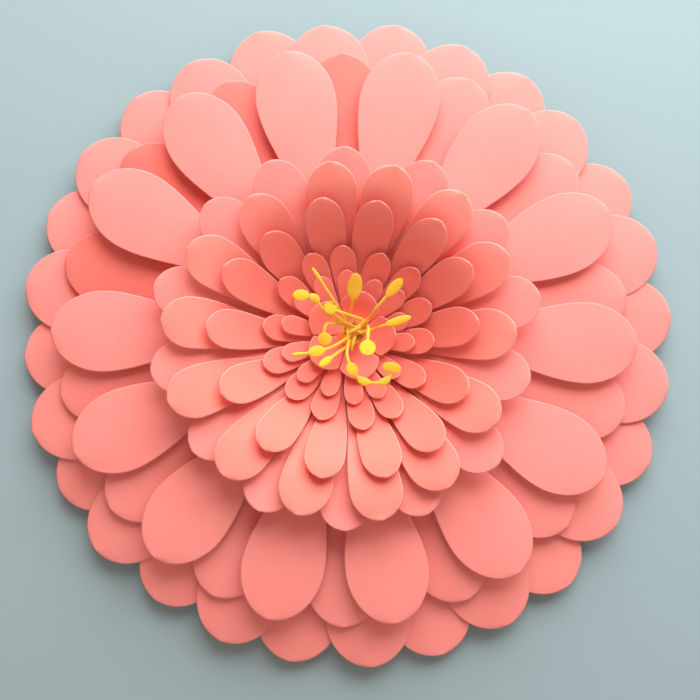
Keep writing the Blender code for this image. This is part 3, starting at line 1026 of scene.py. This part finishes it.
STAMENS = (
    (
        Stop(-2.5, -6, -4), Stop(-2.4, 0, 3), Stop(-2, 6.5, 6), Stop(-0.5, 14, 11),
        Stop(1.4, 22, 21.5), Stop(3.1, 33.2, 27.2, 21, 10.9),
    ),
    (
        Stop(-7, -5, -4), Stop(-2, -0.5, 4.5), Stop(6, 6, 7), Stop(13, 11, 10), Stop(19, 18, 18.5),
        Stop(32.5, 32.5, 25.2, 17.4, 8),
    ),
    (
        Stop(-6, -4, -4), Stop(0, -1.5, 2.5), Stop(8, 1, 5), Stop(17, 3.3, 9), Stop(24, 5, 16.5),
        Stop(35.7, 8.3, 19.2, 20.2, 6.3),
    ),
    (
        Stop(10.5, 4, -4), Stop(12.5, 8, 4), Stop(8, 11, 9), Stop(1.2, 13, 12.5), Stop(-7, 15.5, 15),
        Stop(-15, 18.5, 16.2, 10.1, 10.3),
    ),
    (
        Stop(6, 0, -4), Stop(0, 4, 3.5), Stop(-7, 8, 6), Stop(-13.5, 11.5, 10), Stop(-20, 17, 16),
        Stop(-26.4, 24.9, 21.2, 10.1, 6.3), Stop(-31.5, 27, 21.5), Stop(-36.8, 27.3, 21.2, 12.3, 8.6),
    ),
    (
        Stop(3.5, -3, -4), Stop(-0.5, 4, 4.5), Stop(-5, 12, 8), Stop(-11.5, 22.5, 17.2),
        Stop(-24.5, 41, 28, 14, 3),
    ),
    (
        Stop(5.5, 2.5, -4), Stop(-1, 6, 2), Stop(-6.5, 7.5, 4.5), Stop(-11.5, 7.5, 7),
        Stop(-17.5, 7, 11), Stop(-19.6, 2.5, 11.5), Stop(-19.4, -4.6, 10.2, 10.1, 10.9),
    ),
    (
        Stop(6, 5, -4), Stop(2, -2, 2), Stop(-3, -9.5, 3), Stop(-9, -14, 6), Stop(-14, -18, 9.5),
        Stop(-18.5, -21.5, 12.2, 13, 5.7),
    ),
    (
        Stop(9, 7, -4), Stop(3, 1.5, 4), Stop(-6, -5.5, 6), Stop(-15.5, -11, 10.2),
        Stop(-25.3, -14, 14.2, 13.4, 8.5), Stop(-33, -15.5, 15.5), Stop(-39.3, -16.3, 16.2, 7.8, 2.8),
    ),
    (
        Stop(-1.5, 8, -4), Stop(-2, 2, 5), Stop(-1.5, -6.5, 5.5), Stop(-2.5, -16.5, 10.2),
        Stop(1.2, -27.4, 15.2, 11.2, 8.5), Stop(5, -32.8, 15.2), Stop(10, -36.6, 15.2, 11.2, 6.2),
        Stop(18, -37.6, 15.7), Stop(25.4, -36.6, 16.2, 10.1, 5.8), Stop(29.5, -32.5, 17),
        Stop(30.6, -26.5, 18.2, 8.3, 14.5),
    ),
    (
        Stop(9, 4, -4), Stop(12.3, 6.5, 5), Stop(13.5, 3, 13), Stop(13, -3, 20),
        Stop(12.6, -12, 23.2, 12.5, 12),
    ),
    (Stop(8, 2, -4), Stop(4, 5, 4), Stop(-4, 8.5, 8), Stop(-12, 14, 10)),
    (Stop(-4, -5, -4), Stop(-1, 0, 6), Stop(5, 4, 8), Stop(11, 9, 6)),
    (Stop(5, 6, -4), Stop(4, 0, 3), Stop(2, -7, 5), Stop(1, -12, 3)),
    (Stop(-6, 2, -4), Stop(0, 2.5, 5), Stop(7, 1.5, 6), Stop(13, -1, 3)),
)


# In the middle every ring lies flat, so the roll stands on one layer for each ring.
SEAT_HEIGHT = DISC_THICKNESS - TAB_SINK + len(RINGS) * LAYER_STEP
print("seat of the roll, mm over the wall:", round(SEAT_HEIGHT * 1000, 2))

# %% [markdown]
# A curve through the stops is a row of short steps: between two stops each spot is a blend of the four
# stops around it, which is the usual rule for a smooth line that passes through all its points.


# %% Helpers for ribbons
RIBBON_COLUMNS = 6
STEPS_BETWEEN = 14
LEVEL_ENOUGH = 0.25
TWIST_SHARE = 0.35
JOIN_DISTANCE = 0.00001


def smooth_line(points, steps):
    """Spots along a smooth curve that passes through the points."""
    padded = [2 * points[0] - points[1]] + points + [2 * points[-1] - points[-2]]
    line = []
    for first in range(len(points) - 1):
        before, near, far, after = padded[first : first + 4]
        for step in range(steps + (first == len(points) - 2)):
            share = step / steps
            blend = 2 * near + (far - before) * share + (2 * before - 5 * near + 4 * far - after) * share**2
            blend += (3 * near - before - 3 * far + after) * share**3
            line.append(blend / 2)
    return line


def join_rows(bm, rows):
    """Faces between neighbouring rows of vertices."""
    for near, far in zip(rows, rows[1:]):
        for column in range(len(near) - 1):
            bm.faces.new((near[column], near[column + 1], far[column + 1], far[column]))


def add_ribbon(bm, line, halves, domes, across_start):
    """A ribbon along a line with a half width and a dome at each spot, its columns across the line."""
    across = across_start
    rim = bm.verts.layers.float.new("rim")
    rows = []
    for number, spot in enumerate(line):
        way = line[min(number + 1, len(line) - 1)] - line[max(number - 1, 0)]
        level_way = Vector((-way.z, 0.0, way.x))
        if level_way.length > LEVEL_ENOUGH * way.length:
            level_way.normalize()
            if level_way.dot(across) < 0:
                level_way.negate()
            across = across.lerp(level_way, TWIST_SHARE).normalized()
        front = across.cross(way).normalized()
        if front.y > 0:
            front.negate()
        row = []
        for column in range(RIBBON_COLUMNS + 1):
            share = 2.0 * column / RIBBON_COLUMNS - 1.0
            lift = domes[number] * (1.0 - share * share)
            vertex = bm.verts.new(spot + across * share * halves[number] + front * lift)
            vertex[rim] = (1.0 - abs(share)) * halves[number]
            row.append(vertex)
        rows.append(row)
    join_rows(bm, rows)


def finish_sheet(bm, name):
    """A sheet of yellow card from a bmesh, thick enough to have a cut edge."""
    bmesh.ops.remove_doubles(bm, verts=bm.verts, dist=JOIN_DISTANCE)
    bmesh.ops.recalc_face_normals(bm, faces=bm.faces)
    mesh = mesh_from(bm, name)
    smooth_card(mesh, yellow_card)
    item = add_object(name, mesh)
    thicken = item.modifiers.new("card", "SOLIDIFY")
    thicken.thickness = SHEET_THICKNESS
    thicken.offset = 0.0
    return plain_mesh(item, name)


# %% Roll the strip
ROLL_MARGIN = 0.0003
ROLL_WAVES = ((5.0, 0.12), (11.0, 0.08))
ROLL_SPOTS = 220
ROLL_SHARES = (0.0, 0.35, 0.7, 0.93, 1.0)


def roll_spot(turn, share):
    """A place on the roll: turn counts its turns inwards, share runs from its seat to its front edge."""
    angle = 2 * math.pi * turn
    radius = ROLL_RADIUS - ROLL_MARGIN - ROLL_PITCH * turn
    spot = ROLL_SEAT + share * ROLL_LEAN + Vector((math.sin(angle), 0.0, math.cos(angle))) * radius
    wave = 1.0
    for times, size in ROLL_WAVES:
        wave += size * math.sin(times * angle)
    spot.y = -(SEAT_HEIGHT + share * wave * ROLL_HEIGHT)
    return spot


roll = bmesh.new()
rim = roll.verts.layers.float.new("rim")
rows = []
for number in range(ROLL_SPOTS + 1):
    turn = ROLL_TURNS * number / ROLL_SPOTS
    row = []
    for share in ROLL_SHARES:
        vertex = roll.verts.new(roll_spot(turn, share))
        vertex[rim] = (1.0 - share) * ROLL_HEIGHT
        row.append(vertex)
    rows.append(row)
join_rows(roll, rows)
roll_piece = finish_sheet(roll, "fine_roll")
print("roll faces:", len(roll_piece.data.polygons))

# %% Cut the filaments and their anthers
ANTHER_DOME = 0.0007
LAST_HALVES = (0.0012, 0.0004)


def filament_line(stops):
    """Smooth line through the stops of a filament, and on to the far end of its last oval."""
    points = []
    for stop in stops:
        spot = ROLL_SEAT + Vector((stop.right, 0.0, stop.up)) * STAMEN_STEP
        spot.y = -(SEAT_HEIGHT + ROLL_HEIGHT + stop.height * STAMEN_STEP)
        points.append(spot)
    way = (points[-1] - points[-2]).normalized()
    points.append(points[-1] + way * stops[-1].length * STAMEN_STEP / 2)
    return smooth_line(points, STEPS_BETWEEN)


def filament_sizes(line, stops):
    """Half width and dome at each spot of a filament: it swells to an oval where a stop has a length."""
    walked = [0.0]
    for near, far in zip(line, line[1:]):
        walked.append(walked[-1] + (far - near).length)
    ovals = [(walked[place * STEPS_BETWEEN], stop) for place, stop in enumerate(stops) if stop.length]
    halves = []
    domes = []
    for place in walked:
        half = FILAMENT_WIDTH / 2
        dome = 0.0
        for middle, stop in ovals:
            share = abs(place - middle) / (stop.length * STAMEN_STEP / 2)
            if share < 1.0:
                oval = math.sqrt(1.0 - share * share)
                half = max(half, oval * stop.width * STAMEN_STEP / 2)
                dome = max(dome, oval * ANTHER_DOME)
        halves.append(half)
        domes.append(dome)
    halves[-2:] = [min(halves[-2], LAST_HALVES[0]), LAST_HALVES[1]]
    return halves, domes


pieces = [roll_piece]
for number, stops in enumerate(STAMENS):
    line = filament_line(stops)
    way = line[2 * STEPS_BETWEEN] - line[0]
    across = Vector((-way.z, 0.0, way.x)).normalized()
    bm = bmesh.new()
    add_ribbon(bm, line, *filament_sizes(line, stops), across)
    pieces.append(finish_sheet(bm, f"fine_stamen_{number}"))
print("filaments:", len(pieces) - 1)

# %% Join them into one fringe
bm = bmesh.new()
for piece in pieces:
    bm.from_mesh(piece.data)
mesh = mesh_from(bm, "fine_stamens")
for piece in pieces:
    bpy.data.objects.remove(piece, do_unlink=True)
smooth_card(mesh, yellow_card)
mesh.set_sharp_from_angle(angle=SHARP_ANGLE)
fringe = add_object("fine_stamens", mesh)
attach(fringe, "root")
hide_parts("stamen_fringe")
print("stamen faces:", len(mesh.polygons))

# %% [markdown]
# ## The room
# The flower hangs on a pale wall over a pale floor. Both are one-sided for the camera: from behind they
# are clear, so that the back of the flower can be looked at too.

# %% Wall and floor
WALL_COLOUR = (0.325, 0.455, 0.49, 1.0)
FLOOR_COLOUR = (0.80, 0.80, 0.79, 1.0)
PAINT_ROUGHNESS = 0.95
WALL_GAP = 0.0004
ROOM_HALF = 3.0
ROOM_TOP = 3.0
FLOOR_HEIGHT = -1.4
FLOOR_FRONT = -4.0


def stage_material(name, colour):
    """Pale matte paint that can be seen only from its front."""
    material = bpy.data.materials.new(name)
    material.use_nodes = True
    tree = material.node_tree
    shader = tree.nodes["Principled BSDF"]
    feed_inputs(tree, shader, Base_Color=colour, Roughness=PAINT_ROUGHNESS)
    clear = add_node(tree, "ShaderNodeBsdfTransparent")
    behind = add_node(tree, "ShaderNodeNewGeometry").outputs["Backfacing"]
    mixed = add_node(tree, "ShaderNodeMixShader", behind, shader.outputs[0], clear.outputs[0])
    tree.links.new(mixed.outputs[0], tree.nodes["Material Output"].inputs["Surface"])
    return material


def stage_plane(name, near, far, material):
    """A flat piece of the room as wide as the room, between two places given by their y and z."""
    corners = [(-ROOM_HALF, *near), (ROOM_HALF, *near), (ROOM_HALF, *far), (-ROOM_HALF, *far)]
    mesh = bpy.data.meshes.new(name)
    mesh.from_pydata(corners, [], [(0, 1, 2, 3)])
    mesh.materials.append(material)
    item = add_object(name, mesh)
    item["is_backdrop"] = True


corner = (WALL_GAP, FLOOR_HEIGHT)
stage_plane("wall", corner, (WALL_GAP, ROOM_TOP), stage_material("wall_paint", WALL_COLOUR))
stage_plane("floor", (FLOOR_FRONT, FLOOR_HEIGHT), corner, stage_material("floor_paint", FLOOR_COLOUR))

# %% [markdown]
# ## The light
# One large soft lamp hangs high in front of the wall and a little to the right, as the shadow below the
# flower and at its left tells. The rest is even room light. It is warm, because the shadows between the
# petals are warm in the photo, and the camera sees a pale backdrop in its place.

# %% Lamp and room light
LAMP_PLACE = Vector((0.34, -0.66, 1.20))
LAMP_SIZE = 1.7
LAMP_POWER = 55.0
ROOM_COLOUR = (1.0, 0.60, 0.45, 1.0)
ROOM_STRENGTH = 0.40
BACKDROP_COLOUR = (0.80, 0.84, 0.86, 1.0)

lamp = bpy.data.lights.new("key_lamp", "AREA")
lamp.size = LAMP_SIZE
lamp.energy = LAMP_POWER
lamp_item = add_object("key_lamp", lamp)
lamp_item.location = LAMP_PLACE
lamp_item.rotation_euler = (-LAMP_PLACE).to_track_quat("-Z", "Y").to_euler()
world = bpy.data.worlds.new("room")
scene.world = world
world.use_nodes = True
room = world.node_tree
light = feed_inputs(room, room.nodes["Background"], Color=ROOM_COLOUR, Strength=ROOM_STRENGTH)
seen = add_node(room, "ShaderNodeBackground", BACKDROP_COLOUR, 1.0)
path = add_node(room, "ShaderNodeLightPath").outputs
shown = calc(room, "MAXIMUM", path["Is Camera Ray"], path["Is Glossy Ray"])
shown = calc(room, "MAXIMUM", shown, path["Is Transmission Ray"])
mixed = add_node(room, "ShaderNodeMixShader", shown, light.outputs[0], seen.outputs[0])
room.links.new(mixed.outputs[0], room.nodes["World Output"].inputs["Surface"])
scene.view_settings.view_transform = "Standard"
print("lamp in watts:", LAMP_POWER)

# %% [markdown]
# The dressed flower must be as large as the plain one. Both boxes are printed as sizes in millimetres.

# %% Print the sizes and finish
boxes = {
    "cad": [list(corner) for corner in cad_box],
    "visual": [list(corner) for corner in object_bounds()],
}
for label, (low, high) in boxes.items():
    print(label, "size in mm:", [round(1000 * (b - a), 1) for a, b in zip(low, high)])
